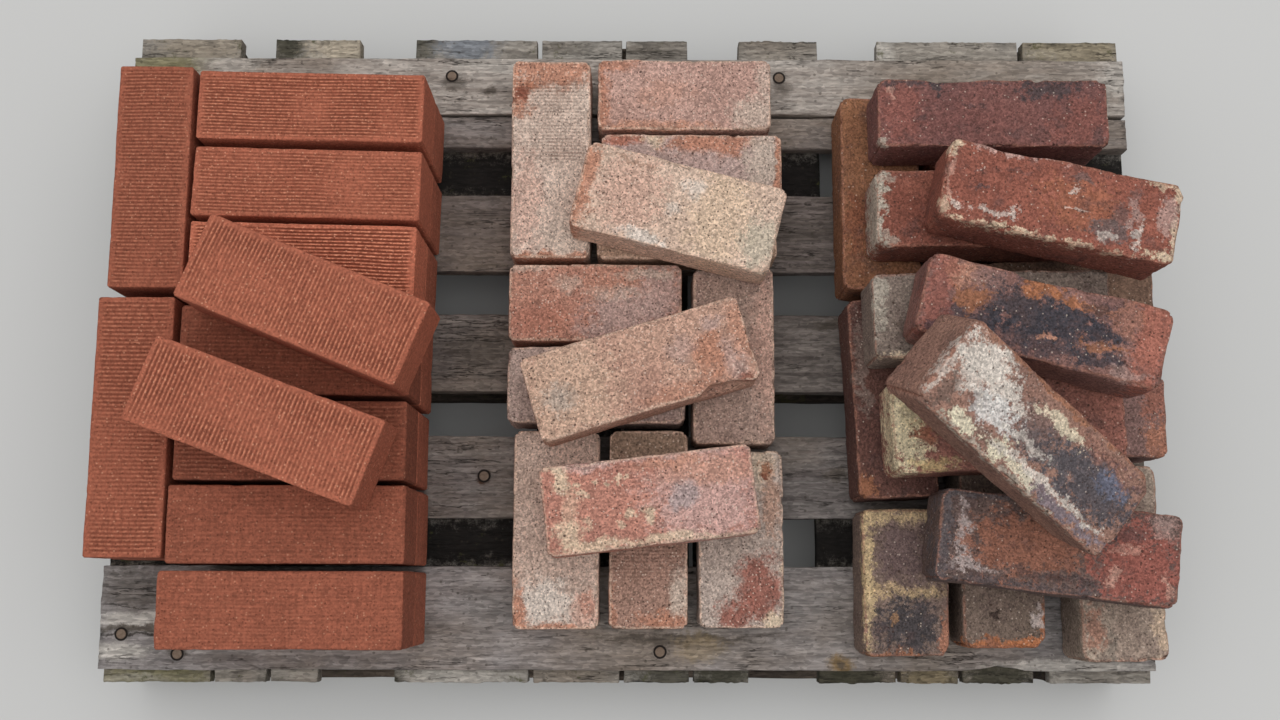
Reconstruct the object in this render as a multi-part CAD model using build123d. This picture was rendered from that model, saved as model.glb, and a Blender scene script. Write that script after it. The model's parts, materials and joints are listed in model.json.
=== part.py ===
from build123d import *
import os
from dataclasses import dataclass
from math import asin, atan2, cos, degrees, hypot, radians, sin

# A wooden pallet loaded with reclaimed bricks in three stacks.
# Sizes are in millimetres and turns in degrees. X runs along the deck boards, Y across
# them with +Y on the far side, and Z up from the floor under the pallet's middle.

# Pallet
PALLET_LENGTH = 1200.0
PALLET_DEPTH = 776.0
FAR_OVERHANG = 33.0
NEAR_OVERHANG = 16.0
DECK_THICKNESS = 22.0
CROSS_THICKNESS = 22.0
BLOCK_HEIGHT = 78.0
SKID_THICKNESS = 22.0
SKID_WIDTH = 100.0
SKID_LEAD_IN = 8.0
END_BLOCK_LENGTH = 118.0
CENTRE_BLOCK_LENGTH = 145.0
BLOCK_DEPTH = 96.0
BLOCK_CORNER = 10.0
BOARD_ARRIS = 1.5

# Deck boards from the far side: node, width, and open gap to the next board. The last
# board takes the width that is left.
DECK_BOARDS = (
    ("deck_board_1", 73.0, 1.0),
    ("deck_board_2", 41.0, 56.0),
    ("deck_board_3", 96.0, 48.0),
    ("deck_board_4", 95.0, 49.0),
    ("deck_board_5", 97.0, 52.0),
)
LAST_DECK_BOARD = "deck_board_6"

# A stretch of the last deck board's near edge that has splintered away
SPLINTER_MIDDLE = 418.0
SPLINTER_LENGTH = 92.0
SPLINTER_DEPTH = 7.0

# Full-depth cross boards under the deck; the centre pair starts left of the middle
LEFT_CROSS_WIDTH = 125.0
RIGHT_CROSS_WIDTH = 118.0
CENTRE_CROSS_WIDTHS = (101.0, 78.0)
CENTRE_CROSS_LEFT = -109.0
BOARD_SEAM = 2.0

# Short boards nailed under the deck's edges, each by its gap to the board before it and
# its width. A run starts at one full-depth board and goes left (-1) or right (+1).
EDGE_BEARING = 12.0
EDGE_RUNS_FAR = (
    ("left", 1, ((39.0, 107.0),)),
    ("centre_left", -1, ((3.0, 152.0),)),
    ("centre_right", 1, ((60.0, 100.0),)),
    ("right", -1, ((4.0, 176.0),)),
)
EDGE_RUNS_NEAR = (
    ("left", 1, ((2.0, 62.0), (2.0, 57.0))),
    ("centre_left", -1, ((3.0, 156.0),)),
    ("centre_right", 1, ((2.0, 66.0),)),
    ("right", -1, ((16.0, 84.0), (2.0, 69.0), (2.0, 92.0))),
)

# Where the stacks stand: in from the deck's nearer end, or from the pallet's middle, and
# down from the deck's far edge
LEFT_STACK_IN = 46.5
LEFT_ENDS_DOWN = 73.5
LEFT_ROW_DOWN = 80.0
MIDDLE_STACK_LEFT = -137.0
MIDDLE_STACK_DOWN = 27.0
MIDDLE_COLUMN_DOWN = 25.0
MIDDLE_NEAR_STEP = 9.0
RIGHT_STACK_IN = 361.0
RIGHT_STACK_DOWN = 75.5
RIGHT_COLUMN_DOWN = 71.0
RIGHT_UPPER_IN = 332.0
RIGHT_UPPER_DOWN = 82.5
JOINT = 5.0

# The leaning brick: where its low corner stands, from the middle of the brick under it,
# its turn in plan, its roll about its own length, and the gap that it settles to
LEAN_FOOT = (-6.0, 5.0)
LEAN_TURN = -37.2
LEAN_ROLL = 4.0
LEAN_LIFT = 4.0
LEAN_SEAT = 0.2

deck_left = -PALLET_LENGTH / 2
deck_right = PALLET_LENGTH / 2
deck_far = PALLET_DEPTH / 2 - FAR_OVERHANG
deck_near = NEAR_OVERHANG - PALLET_DEPTH / 2
centre_cross_width = sum(CENTRE_CROSS_WIDTHS) + BOARD_SEAM
cross_bottom = SKID_THICKNESS + BLOCK_HEIGHT
deck_bottom = cross_bottom + CROSS_THICKNESS
deck_top = deck_bottom + DECK_THICKNESS


@dataclass(frozen=True)
class Make:
    """What the bricks of one stack have in common: how high they are, how far their
    upright corners and their rims are worn, and whether that wear has rounded them."""

    height: float
    corner: float
    arris: float
    rounded: bool


COMBED = Make(height=80.0, corner=2.0, arris=1.5, rounded=False)
SPECKLED = Make(height=64.0, corner=4.5, arris=2.5, rounded=False)
RECLAIMED = Make(height=80.0, corner=8.0, arris=3.0, rounded=True)


@dataclass
class Brick:
    """One brick: its size, how it lies against its neighbours, its damage, and where it
    ends up. In its own axes the length runs along X, and chips and bites are given there.

    chips are corners knocked off: the corner's signs, and how far the break reaches
    along, across and down. bites are gaps in a top arris: the middle along the length,
    the side, and how far the gap runs along, inwards and down.
    """

    name: str
    length: float
    width: float
    make: Make
    lies: str = "x"
    joint: float = JOINT
    slip: float = 0.0
    turn: float = 0.0
    chips: tuple = ()
    bites: tuple = ()
    x: float = 0.0
    y: float = 0.0
    bed: float = 0.0

    @property
    def size_x(self):
        return self.length if self.lies == "x" else self.width

    @property
    def size_y(self):
        return self.width if self.lies == "x" else self.length

    @property
    def right(self):
        return self.x + self.size_x / 2

    @property
    def near(self):
        return self.y - self.size_y / 2

    @property
    def top(self):
        return self.bed + self.make.height

    @property
    def angle(self):
        return self.turn if self.lies == "x" else self.turn + 90


def lay_column(bricks, left, far, bed):
    """Lay bricks one after another towards the near side, each a joint from the last."""
    edge = far
    for brick in bricks:
        brick.x = left + brick.slip + brick.size_x / 2
        brick.y = edge - brick.joint - brick.size_y / 2
        brick.bed = bed
        edge = brick.near
    return bricks


def lay_row(bricks, left, far, bed):
    """Lay bricks side by side to the right, each a joint from the last."""
    edge = left
    for brick in bricks:
        brick.x = edge + brick.joint + brick.size_x / 2
        brick.y = far - brick.slip - brick.size_y / 2
        brick.bed = bed
        edge = brick.right
    return bricks


def lay_on(brick, support, across, up):
    """Rest a loose brick on another, moved off the middle of that one."""
    brick.x = support.x + across
    brick.y = support.y + up
    brick.bed = support.top
    return brick


def knock_off(body, half, corner, reach):
    """Break one corner off a block, along the plane through the ends of its breaks."""
    tip = Vector(*(sign * size for sign, size in zip(corner, half)))
    ends = []
    for axis in range(3):
        back = [0.0, 0.0, 0.0]
        back[axis] = -corner[axis] * reach[axis]
        ends.append(tip + Vector(*back))
    outward = (ends[1] - ends[0]).cross(ends[2] - ends[0])
    if outward.dot(tip - ends[0]) < 0:
        outward = -outward
    plane = Plane(origin=ends[0], z_dir=outward)
    return split(body, bisect_by=plane, keep=Keep.BOTTOM)


def bite_out(body, half, middle, side, run, inward, down):
    """Break a sloping gap out of the top arris on one side of a block."""
    face = side * half[1]
    floor = face - side * inward
    gap = Polygon(
        (middle - run / 2, face),
        (middle - run / 4, floor),
        (middle + run / 6, floor + side * inward / 4),
        (middle + run / 2, face),
        align=None,
    )
    return body - Pos(0, 0, half[2] - down) * extrude(gap, down)


def brick_body(brick):
    """A fired brick about its own middle, its length along X, with worn edges."""
    height = brick.make.height
    outline = Rectangle(brick.length, brick.width)
    wear = fillet if brick.make.rounded else chamfer
    outline = wear(outline.vertices(), brick.make.corner)
    body = Pos(0, 0, -height / 2) * extrude(outline, height)
    faces = body.faces().sort_by(Axis.Z)
    rims = faces[0].edges() + faces[-1].edges()
    body = chamfer(rims, brick.make.arris)
    half = (brick.length / 2, brick.width / 2, height / 2)
    for middle, side, run, inward, down in brick.bites:
        body = bite_out(body, half, middle, side, run, inward, down)
    for corner, reach in brick.chips:
        body = knock_off(body, half, corner, reach)
    return body


def laid_brick(brick):
    middle = Pos(brick.x, brick.y, brick.bed + brick.make.height / 2)
    return middle * Rot(0, 0, brick.angle) * brick_body(brick)


def leaning_brick(brick, foot, rest):
    """Stand one low corner on the foot brick and lean the underside on the rest brick."""
    corner = Vector(foot.x + LEAN_FOOT[0], foot.y + LEAN_FOOT[1], foot.top)
    uphill = Vector(-1, 0, 0).rotate(Axis.Z, LEAN_TURN)
    sideways = Vector(0, 1, 0).rotate(Axis.Z, LEAN_TURN)
    facing = Vector(0, -1, 0).rotate(Axis.Z, rest.angle)
    face = Vector(rest.x, rest.y, foot.top) + facing * (rest.width / 2)
    edge = corner + sideways * (brick.width * cos(radians(LEAN_ROLL)))
    reach = (face - edge).dot(facing) / uphill.dot(facing)
    rise = rest.top - foot.top
    rolled = brick.width * sin(radians(LEAN_ROLL))
    lean = atan2(rise, reach) - asin(rolled / hypot(reach, rise))
    body = Pos(-brick.length / 2, brick.width / 2, brick.make.height / 2) * brick_body(brick)
    body = Rot(0, degrees(lean), 0) * Rot(LEAN_ROLL, 0, 0) * body
    start = Pos(corner.X, corner.Y, corner.Z + LEAN_LIFT)
    return start * Rot(0, 0, LEAN_TURN) * body


def settled(body, supports):
    """Lower a lifted piece straight down until it touches what carries it."""
    gap = min(body.distance_to(support) for support in supports)
    while gap > LEAN_SEAT:
        body = Pos(0, 0, -gap) * body
        gap = min(body.distance_to(support) for support in supports)
    return body


def left_tier(name, bed):
    """One tier of combed bricks: two lie lengthways beside seven that lie crossways."""
    ends = [
        Brick(name + "_1", 247, 81, COMBED, lies="y", joint=0),
        Brick(name + "_2", 275, 82, COMBED, lies="y", joint=9, slip=-7.5),
    ]
    row = [
        Brick(name + "_3", 246, 78, COMBED, joint=0, turn=-1.0),
        Brick(name + "_4", 246, 78, COMBED, joint=8, slip=-1, turn=-1.4),
        Brick(name + "_5", 243, 85, COMBED, slip=-1.5, turn=-1.3),
        Brick(name + "_6", 245, 96, COMBED, slip=-5.5, turn=-0.4),
        Brick(name + "_7", 243, 84, COMBED, slip=-5.5),
        Brick(name + "_8", 248, 82, COMBED, joint=4, slip=-9),
        Brick(name + "_9", 254, 81, COMBED, joint=6, slip=-15),
    ]
    lay_column(ends, deck_left + LEFT_STACK_IN, deck_far - LEFT_ENDS_DOWN, bed)
    lay_column(row, ends[0].right + JOINT, deck_far - LEFT_ROW_DOWN, bed)
    return ends + row


def middle_layer(bed):
    """One layer of speckled bricks, laid lengthways and crossways."""
    name = "middle_brick"
    first = Brick(name + "_1", 238, 94, SPECKLED, lies="y", joint=0)
    far_column = [
        Brick(name + "_2", 204, 88, SPECKLED, joint=0),
        Brick(name + "_3", 211, 86, SPECKLED, joint=2, slip=4.5,
              chips=(((-1, 1, 1), (14, 9, 16)), ((1, 1, 1), (12, 10, 14)))),
        Brick(name + "_4", 209, 58, SPECKLED, joint=7),
    ]
    near_first = [
        Brick(name + "_5", 199, 92, SPECKLED, joint=4),
        Brick(name + "_6", 203, 90, SPECKLED, joint=3),
    ]
    upright = Brick(name + "_7", 204, 95, SPECKLED, lies="y", joint=7)
    near_row = [
        Brick(name + "_8", 221, 98, SPECKLED, lies="y", joint=0,
              chips=(((-1, 1, 1), (9, 8, 14)),)),
        Brick(name + "_9", 220.5, 90, SPECKLED, lies="y", joint=8),
        Brick(name + "_10", 198, 97, SPECKLED, lies="y", joint=8.5, slip=21.5,
              chips=(((-1, -1, 1), (8, 10, 12)),)),
    ]
    left = MIDDLE_STACK_LEFT
    lay_column([first], left, deck_far - MIDDLE_STACK_DOWN, bed)
    lay_column(far_column, first.right + JOINT, deck_far - MIDDLE_COLUMN_DOWN, bed)
    lay_column(near_first, left, first.near, bed)
    lay_column([upright], near_first[-1].right + JOINT, far_column[-1].near, bed)
    lay_row(near_row, left + MIDDLE_NEAR_STEP, near_first[-1].near - JOINT, bed)
    return [first] + far_column + near_first + [upright] + near_row


def right_lower(bed):
    """The lower tier of the right stack: an upright column, one of crossways bricks,
    and two more upright ones on the near side."""
    name = "right_lower_brick"
    upright = [
        Brick(name + "_1", 229, 94, RECLAIMED, lies="y", joint=0),
        Brick(name + "_2", 228, 93, RECLAIMED, lies="y", slip=8, turn=2.5),
        Brick(name + "_3", 163, 98, RECLAIMED, lies="y", joint=8, slip=14,
              chips=(((-1, -1, 1), (24, 15, 40)),)),
    ]
    crosswise = [
        Brick("right_lower_hidden", 178, 92, RECLAIMED, joint=0),
        Brick("right_lower_hidden", 178, 90, RECLAIMED),
        Brick(name + "_4", 250, 97, RECLAIMED, joint=8, slip=6, turn=1.5),
        Brick(name + "_5", 252, 97, RECLAIMED, joint=33, slip=9),
    ]
    near_pair = [
        Brick(name + "_6", 201, 94, RECLAIMED, lies="y", joint=10,
              chips=(((-1, 1, 1), (18, 16, 45)), ((-1, -1, 1), (20, 18, 50)))),
        Brick(name + "_7", 215, 97, RECLAIMED, lies="y", joint=32, turn=1.6,
              chips=(((-1, 1, 1), (10, 16, 20)),)),
    ]
    left = deck_right - RIGHT_STACK_IN
    lay_column(upright, left, deck_far - RIGHT_STACK_DOWN, bed)
    lay_column(crosswise, upright[0].right + JOINT, deck_far - RIGHT_COLUMN_DOWN, bed)
    lay_row(near_pair, upright[-1].right, crosswise[-1].near - JOINT, bed)
    return upright, crosswise, near_pair


def right_upper(bed):
    """The upper tier of the right stack, with wide joints between the bricks."""
    name = "right_upper_brick"
    row = [
        Brick(name + "_1", 256, 81, RECLAIMED, joint=0,
              chips=(((1, 1, 1), (16, 12, 22)),), bites=((-38, 1, 92, 7, 34),)),
        Brick(name + "_2", 252, 90, RECLAIMED, joint=21, slip=-4,
              chips=(((-1, -1, 1), (15, 15, 30)),)),
        Brick(name + "_3", 260, 96, RECLAIMED, joint=22, slip=-11, turn=1.7,
              chips=(((-1, -1, 1), (12, 9, 18)),)),
        Brick(name + "_4", 250, 104, RECLAIMED, joint=16.5, slip=7, turn=2.2,
              chips=(((-1, -1, 1), (22, 16, 30)), ((-1, 1, 1), (10, 10, 12)))),
        Brick(name + "_5", 256, 101, RECLAIMED, joint=27.5, slip=51, turn=-6.9,
              chips=(((1, -1, 1), (16, 12, 20)), ((-1, 1, 1), (12, 16, 18)))),
    ]
    return lay_column(row, deck_right - RIGHT_UPPER_IN, deck_far - RIGHT_UPPER_DOWN, bed)


def board(length, width, thickness):
    """A sawn board about its own middle, its length along X, standing on its bed."""
    body = extrude(Rectangle(length, width), thickness)
    return chamfer(body.edges().filter_by(Axis.X), BOARD_ARRIS)


def splinter():
    """What has broken away from the last deck board's near edge."""
    torn = Polygon(
        (-SPLINTER_LENGTH / 2, 0),
        (-SPLINTER_LENGTH / 4, SPLINTER_DEPTH / 2),
        (0, SPLINTER_DEPTH),
        (SPLINTER_LENGTH / 3, SPLINTER_DEPTH / 3),
        (SPLINTER_LENGTH / 2, 0),
        align=None,
    )
    return Pos(SPLINTER_MIDDLE, deck_near, deck_bottom) * extrude(torn, DECK_THICKNESS)


def deck_edges():
    """The far and near edge of each deck board, by node."""
    edges = {}
    far = deck_far
    for node, width, gap in DECK_BOARDS:
        edges[node] = (far, far - width)
        far -= width + gap
    edges[LAST_DECK_BOARD] = (far, deck_near)
    return edges


def deck_boards():
    pieces = {}
    for node, (far, near) in deck_edges().items():
        plank = board(PALLET_LENGTH, far - near, DECK_THICKNESS)
        pieces[node] = [Pos(0, (far + near) / 2, deck_bottom) * plank]
    pieces[LAST_DECK_BOARD] = [pieces[LAST_DECK_BOARD][0] - splinter()]
    return pieces


def cross_board(left, width, near, far):
    """A board across the pallet, under the deck, between two places in Y."""
    lengthways = board(far - near, width, CROSS_THICKNESS)
    middle = Pos(left + width / 2, (near + far) / 2, cross_bottom)
    return middle * Rot(0, 0, 90) * lengthways


def cross_boards():
    ends = (-PALLET_DEPTH / 2, PALLET_DEPTH / 2)
    right = deck_right - RIGHT_CROSS_WIDTH
    pieces = {
        "cross_board_left": [cross_board(deck_left, LEFT_CROSS_WIDTH, *ends)],
        "cross_board_right": [cross_board(right, RIGHT_CROSS_WIDTH, *ends)],
    }
    left = CENTRE_CROSS_LEFT
    for number, width in enumerate(CENTRE_CROSS_WIDTHS, 1):
        pieces[f"cross_board_centre_{number}"] = [cross_board(left, width, *ends)]
        left += width + BOARD_SEAM
    return pieces


def edge_run(start, way, boards, near, far):
    """Short boards laid one after another from the side of a full-depth board."""
    made = []
    edge = start
    for gap, width in boards:
        inner = edge + way * gap
        edge = inner + way * width
        made.append(cross_board(min(inner, edge), width, near, far))
    return made


def edge_boards():
    """Short boards from the pallet's edges to under the second deck board from each."""
    starts = {
        "left": deck_left + LEFT_CROSS_WIDTH,
        "centre_left": CENTRE_CROSS_LEFT,
        "centre_right": CENTRE_CROSS_LEFT + centre_cross_width,
        "right": deck_right - RIGHT_CROSS_WIDTH,
    }
    edges = deck_edges()
    far_end = PALLET_DEPTH / 2
    far_hold = edges["deck_board_3"][0] - EDGE_BEARING
    near_hold = edges["deck_board_5"][1] + EDGE_BEARING
    pieces = {"edge_boards_far": [], "edge_boards_near": []}
    for start, way, boards in EDGE_RUNS_FAR:
        pieces["edge_boards_far"] += edge_run(starts[start], way, boards, far_hold, far_end)
    for start, way, boards in EDGE_RUNS_NEAR:
        pieces["edge_boards_near"] += edge_run(starts[start], way, boards, -far_end, near_hold)
    return pieces


def block(length):
    """A pallet block with its upright corners cut off."""
    body = extrude(Rectangle(length, BLOCK_DEPTH), BLOCK_HEIGHT)
    return chamfer(body.edges().filter_by(Axis.Z), BLOCK_CORNER)


def skid():
    """A bottom board whose ends are eased for a truck's wheels."""
    body = board(PALLET_LENGTH, SKID_WIDTH, SKID_THICKNESS)
    upper = body.faces().sort_by(Axis.Z)[-1]
    return chamfer(upper.edges().filter_by(Axis.Y), SKID_LEAD_IN)


def base():
    """Three bottom boards, each with a row of three blocks standing on it."""
    row_y = (PALLET_DEPTH - SKID_WIDTH) / 2
    centre_x = CENTRE_CROSS_LEFT + centre_cross_width / 2
    end_x = (PALLET_LENGTH - END_BLOCK_LENGTH) / 2
    columns = (
        (-end_x, END_BLOCK_LENGTH),
        (centre_x, CENTRE_BLOCK_LENGTH),
        (end_x, END_BLOCK_LENGTH),
    )
    pieces = {}
    for side, y in (("far", row_y), ("middle", 0.0), ("near", -row_y)):
        pieces["bottom_board_" + side] = [Pos(0, y, 0) * skid()]
        pieces["blocks_" + side] = [
            Pos(x, y, SKID_THICKNESS) * block(length) for x, length in columns
        ]
    return pieces


def loose_bricks(left, middle, right):
    """Bricks laid skew on top, each by the brick that it rests on and its place there."""
    placed = (
        (Brick("left_loose_brick_1", 244, 93, COMBED, turn=-22.3), left[5], 24, 39),
        (Brick("left_loose_brick_2", 248, 92, COMBED, turn=-20.4), left[6], -18, 12),
        (Brick("middle_loose_brick_1", 229, 102, SPECKLED, turn=-14.3,
               chips=(((1, -1, 1), (13, 16, 24)), ((1, 1, 1), (10, 7, 10)))), middle[3], -12, 16),
        (Brick("middle_loose_brick_2", 249, 98, SPECKLED, turn=17,
               bites=((84, -1, 70, 10, 30),)), middle[5], 48.5, 9),
        (Brick("middle_loose_brick_3", 231, 99, SPECKLED, turn=7,
               chips=(((-1, 1, 1), (14, 10, 14)),)), middle[8], 0.5, 28),
        (Brick("right_loose_brick_1", 248, 90, RECLAIMED, turn=-12.6,
               chips=(((1, 1, 1), (16, 22, 26)), ((1, -1, 1), (18, 12, 24))),
               bites=((-48, 1, 96, 8, 12),)), right[1], 51, -14.5),
        (Brick("right_loose_brick_2", 256, 88, RECLAIMED, turn=-14.4,
               chips=(((-1, 1, 1), (12, 10, 20)),), bites=((-6, 1, 84, 8, 26),)), right[2], 31, -23),
    )
    return [lay_on(brick, support, across, up) for brick, support, across, up in placed]


def bricks():
    """All bricks, each in its own node but for the tier and the pair that lie hidden."""
    lower = left_tier("left_lower", deck_top)
    upper = left_tier("left_upper_brick", lower[0].top)
    middle = middle_layer(deck_top)
    upright, crosswise, near_pair = right_lower(deck_top)
    crown = right_upper(upright[0].top)
    loose = loose_bricks(upper, middle, crown)
    hidden, shown = crosswise[:2], crosswise[2:]

    pieces = {
        "left_lower_bricks": [laid_brick(brick) for brick in lower],
        "right_lower_hidden_bricks": [laid_brick(brick) for brick in hidden],
    }
    for brick in upper + middle + upright + shown + near_pair + crown + loose:
        pieces[brick.name] = [laid_brick(brick)]

    leaner = Brick("right_leaning_brick", 266, 101, RECLAIMED,
                   chips=(((1, 1, 1), (24, 22, 30)),))
    lifted = leaning_brick(leaner, foot=crown[-1], rest=loose[-1])
    carriers = [laid_brick(crown[-1]), laid_brick(loose[-1])]
    pieces[leaner.name] = [settled(lifted, carriers)]
    return pieces


def main():
    os.makedirs("parts", exist_ok=True)
    pieces = {**deck_boards(), **cross_boards(), **edge_boards(), **base(), **bricks()}
    for node, solids in pieces.items():
        shape = solids[0] if len(solids) == 1 else Compound(children=solids)
        shape.label = node
        export_step(shape, f"parts/{node}.step")


main()
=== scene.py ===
import json
import math
from collections import namedtuple

import bpy
import numpy as np
from mathutils import Matrix, Vector


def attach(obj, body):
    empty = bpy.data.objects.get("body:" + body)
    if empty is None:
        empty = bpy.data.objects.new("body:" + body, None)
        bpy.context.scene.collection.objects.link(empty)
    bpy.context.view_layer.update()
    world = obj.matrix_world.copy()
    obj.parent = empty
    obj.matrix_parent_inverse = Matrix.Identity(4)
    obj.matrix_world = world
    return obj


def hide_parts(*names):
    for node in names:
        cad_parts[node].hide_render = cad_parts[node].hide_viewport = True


# The looks of a pallet of bricks: weathered boards, and bricks with worn edges, comb marks,
# chips, soot and lime. Lengths are in metres unless a name ends in _MM or a comment says
# millimetres. Colours are red, green and blue in steps from 0 to 255.

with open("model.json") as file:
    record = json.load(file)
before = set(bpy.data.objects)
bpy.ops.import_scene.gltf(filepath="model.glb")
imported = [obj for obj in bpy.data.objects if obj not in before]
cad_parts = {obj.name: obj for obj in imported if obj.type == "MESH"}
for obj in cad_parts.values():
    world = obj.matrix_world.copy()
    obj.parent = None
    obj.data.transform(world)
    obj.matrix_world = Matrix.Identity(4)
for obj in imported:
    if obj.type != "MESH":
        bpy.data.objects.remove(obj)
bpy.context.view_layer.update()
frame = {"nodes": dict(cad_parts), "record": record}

MM = 0.001
SLOT_OF = {part["node"]: part["material_slot"] for part in frame["record"]["subparts"]}

# Camera, fitted to the photograph's frame
CAMERA_LENS_MM = 39.12
CAMERA_PLACE = (0.0079, -0.2744, 1.7485)
CAMERA_PITCH = math.radians(9.161)
CAMERA_YAW = math.radians(-1.230)
CAMERA_ROLL = math.radians(1.381)


def linear(colour):
    """A colour in Blender's linear values."""
    out = []
    for value in colour:
        level = value / 255
        out.append(level / 12.92 if level <= 0.04045 else ((level + 0.055) / 1.055) ** 2.4)
    return (*out, 1.0)


# Random fields

def field(points, cell, seed):
    """Smooth random values from -1 to 1 over points, on a lattice of that cell size."""
    table = np.random.RandomState(seed).uniform(-1, 1, 4096)
    scaled = points / np.asarray(cell, float)
    base = np.floor(scaled).astype(np.int64)
    part = scaled - base
    part = part * part * (3 - 2 * part)
    total = np.zeros(len(points))
    for corner in range(8):
        bits = np.array([corner & 1, (corner >> 1) & 1, (corner >> 2) & 1])
        cells = base + bits
        key = (cells[:, 0] * 73856093) ^ (cells[:, 1] * 19349663) ^ (cells[:, 2] * 83492791)
        weight = np.prod(np.where(bits, part, 1 - part), axis=1)
        total += weight * table[(key + seed * 7919) & 4095]
    return total


def layers(points, seed, waves):
    """A sum of random fields, each given as its cell size, its own seed step and its share."""
    return sum(field(points, cell, seed + step) * share for cell, step, share in waves)


def smooth(low, high, values):
    """A soft step from 0 at low to 1 at high."""
    t = np.clip((values - low) / (high - low), 0, 1)
    return t * t * (3 - 2 * t)


# Reading the solids of the frame

SAME_FACE = 0.99999
MERGE_STEPS = 1e5


def loose_solids(node):
    """The separate solids of a CAD node, each as the corners of its triangles."""
    mesh = frame["nodes"][node].data
    mesh.calc_loop_triangles()
    points = np.array([v.co for v in mesh.vertices], float)
    triangles = np.array([t.vertices for t in mesh.loop_triangles])
    places = [tuple(np.round(p * MERGE_STEPS).astype(int)) for p in points]
    keys = {}
    merged = np.array([keys.setdefault(place, len(keys)) for place in places])
    parent = list(range(len(keys)))

    def root(i):
        while parent[i] != i:
            parent[i] = parent[parent[i]]
            i = parent[i]
        return i

    for a, b, c in merged[triangles]:
        parent[root(a)] = root(b)
        parent[root(b)] = root(c)
    groups = {}
    for triangle, ids in zip(triangles, merged[triangles]):
        groups.setdefault(root(ids[0]), []).append(triangle)
    solids = [points[np.array(group)] for group in groups.values()]

    def order(solid):
        return (round(float(solid[..., 0].mean()), 3), round(float(solid[..., 1].mean()), 3))

    return sorted(solids, key=order)


def facets(corners):
    """The outward normals and areas of a solid's triangles, and their corners."""
    cross = np.cross(corners[:, 1] - corners[:, 0], corners[:, 2] - corners[:, 0])
    length = np.linalg.norm(cross, axis=1)
    keep = length > 1e-9
    return cross[keep] / length[keep, None], length[keep] / 2, corners[keep]


def lie_of(corners):
    """How a block lies: a matrix from its own axes, length along X, and its three sizes."""
    normals, area = facets(corners)[:2]

    def strongest(mask):
        best, best_area = None, 0.0
        for normal in normals[mask]:
            total = area[np.abs(normals @ normal) > SAME_FACE].sum()
            if total > best_area:
                best, best_area = normal, total
        return best

    up = strongest(np.abs(normals[:, 2]) > 0.8)
    up = up * np.sign(up[2])
    across = strongest(np.abs(normals @ up) < 0.02)
    along = np.cross(across, up)
    lead = along[0] if abs(along[0]) >= abs(along[1]) else along[1]
    along = along * np.sign(lead)
    across = np.cross(up, along)
    turn = np.stack([along, across, up], axis=1)
    local = corners.reshape(-1, 3) @ turn
    low, high = local.min(0), local.max(0)
    size = high - low
    middle = turn @ ((low + high) / 2)
    if size[1] > size[0]:
        turn = np.stack([across, -along, up], axis=1)
        size = size[[1, 0, 2]]
        if turn[1, 0] < 0 and abs(turn[1, 0]) > abs(turn[0, 0]):
            turn[:, :2] *= -1
    matrix = Matrix.Translation(Vector(middle)) @ Matrix(turn.tolist()).to_4x4()
    return matrix, size


# A knocked-off corner is a plane that slants to all three axes and is at least this large
SLANT = 0.12
CHIP_AREA = 30e-6
SAME_CHIP = 0.999


def chip_planes(corners, matrix):
    """The slanting planes where corners were knocked off, in the block's own axes."""
    turn = np.array(matrix)[:3, :3]
    middle = np.array(matrix)[:3, 3]
    normals, area, kept = facets((corners - middle) @ turn)
    planes = []
    for normal, triangle in zip(normals, kept):
        known = any(normal @ plane[0] > SAME_CHIP for plane in planes)
        if known or np.abs(normal).min() < SLANT:
            continue
        if area[normals @ normal > SAME_CHIP].sum() > CHIP_AREA:
            planes.append((normal, float(normal @ triangle[0])))
    return planes


# Mesh building

def ticks(half, rim, step, rim_steps=3):
    """Grid lines from -half to half, closer together within the rim at both ends."""
    edge = np.linspace(0, 1, rim_steps + 1)[:-1] ** 1.3 * rim
    count = max(2, int(round((2 * half - 2 * rim) / step)) + 1)
    inner = np.linspace(-half + rim, half - rim, count)
    return np.concatenate([-half + edge, inner, half - edge[::-1]])


def block_grid(*grid):
    """The surface of a block, from its grid lines along X, Y and Z, as points and quads."""
    index, points, quads = {}, [], []

    def point(place):
        if place not in index:
            index[place] = len(points)
            points.append([lines[i] for lines, i in zip(grid, place)])
        return index[place]

    for axis in range(3):
        first, second = (axis + 1) % 3, (axis + 2) % 3
        for i in range(len(grid[first]) - 1):
            for j in range(len(grid[second]) - 1):
                for level, way in ((0, -1), (len(grid[axis]) - 1, 1)):
                    quad = []
                    for a, b in ((i, j), (i + 1, j), (i + 1, j + 1), (i, j + 1)):
                        place = [0, 0, 0]
                        place[axis], place[first], place[second] = level, a, b
                        quad.append(point(tuple(place)))
                    quads.append(tuple(quad[:1] + quad[1:][::way]))
    return np.array(points), quads


def rounded(points, half, radius, corner):
    """Points of a block pulled in to rounded arrises and upright corners, with normals."""
    inner = np.clip(points, -(half - radius[:, None]), half - radius[:, None])
    out = points - inner
    length = np.linalg.norm(out, axis=1)
    normal = out / np.maximum(length, 1e-9)[:, None]
    shaped = inner + normal * radius[:, None]
    core = half[:2] - corner
    flat = np.clip(shaped[:, :2], -core, core)
    aside = shaped[:, :2] - flat
    reach = np.linalg.norm(aside, axis=1)
    square = np.abs(aside).max(axis=1)
    shaped[:, :2] = flat + aside * (square / np.maximum(reach, 1e-9))[:, None]
    return shaped, normal


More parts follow.
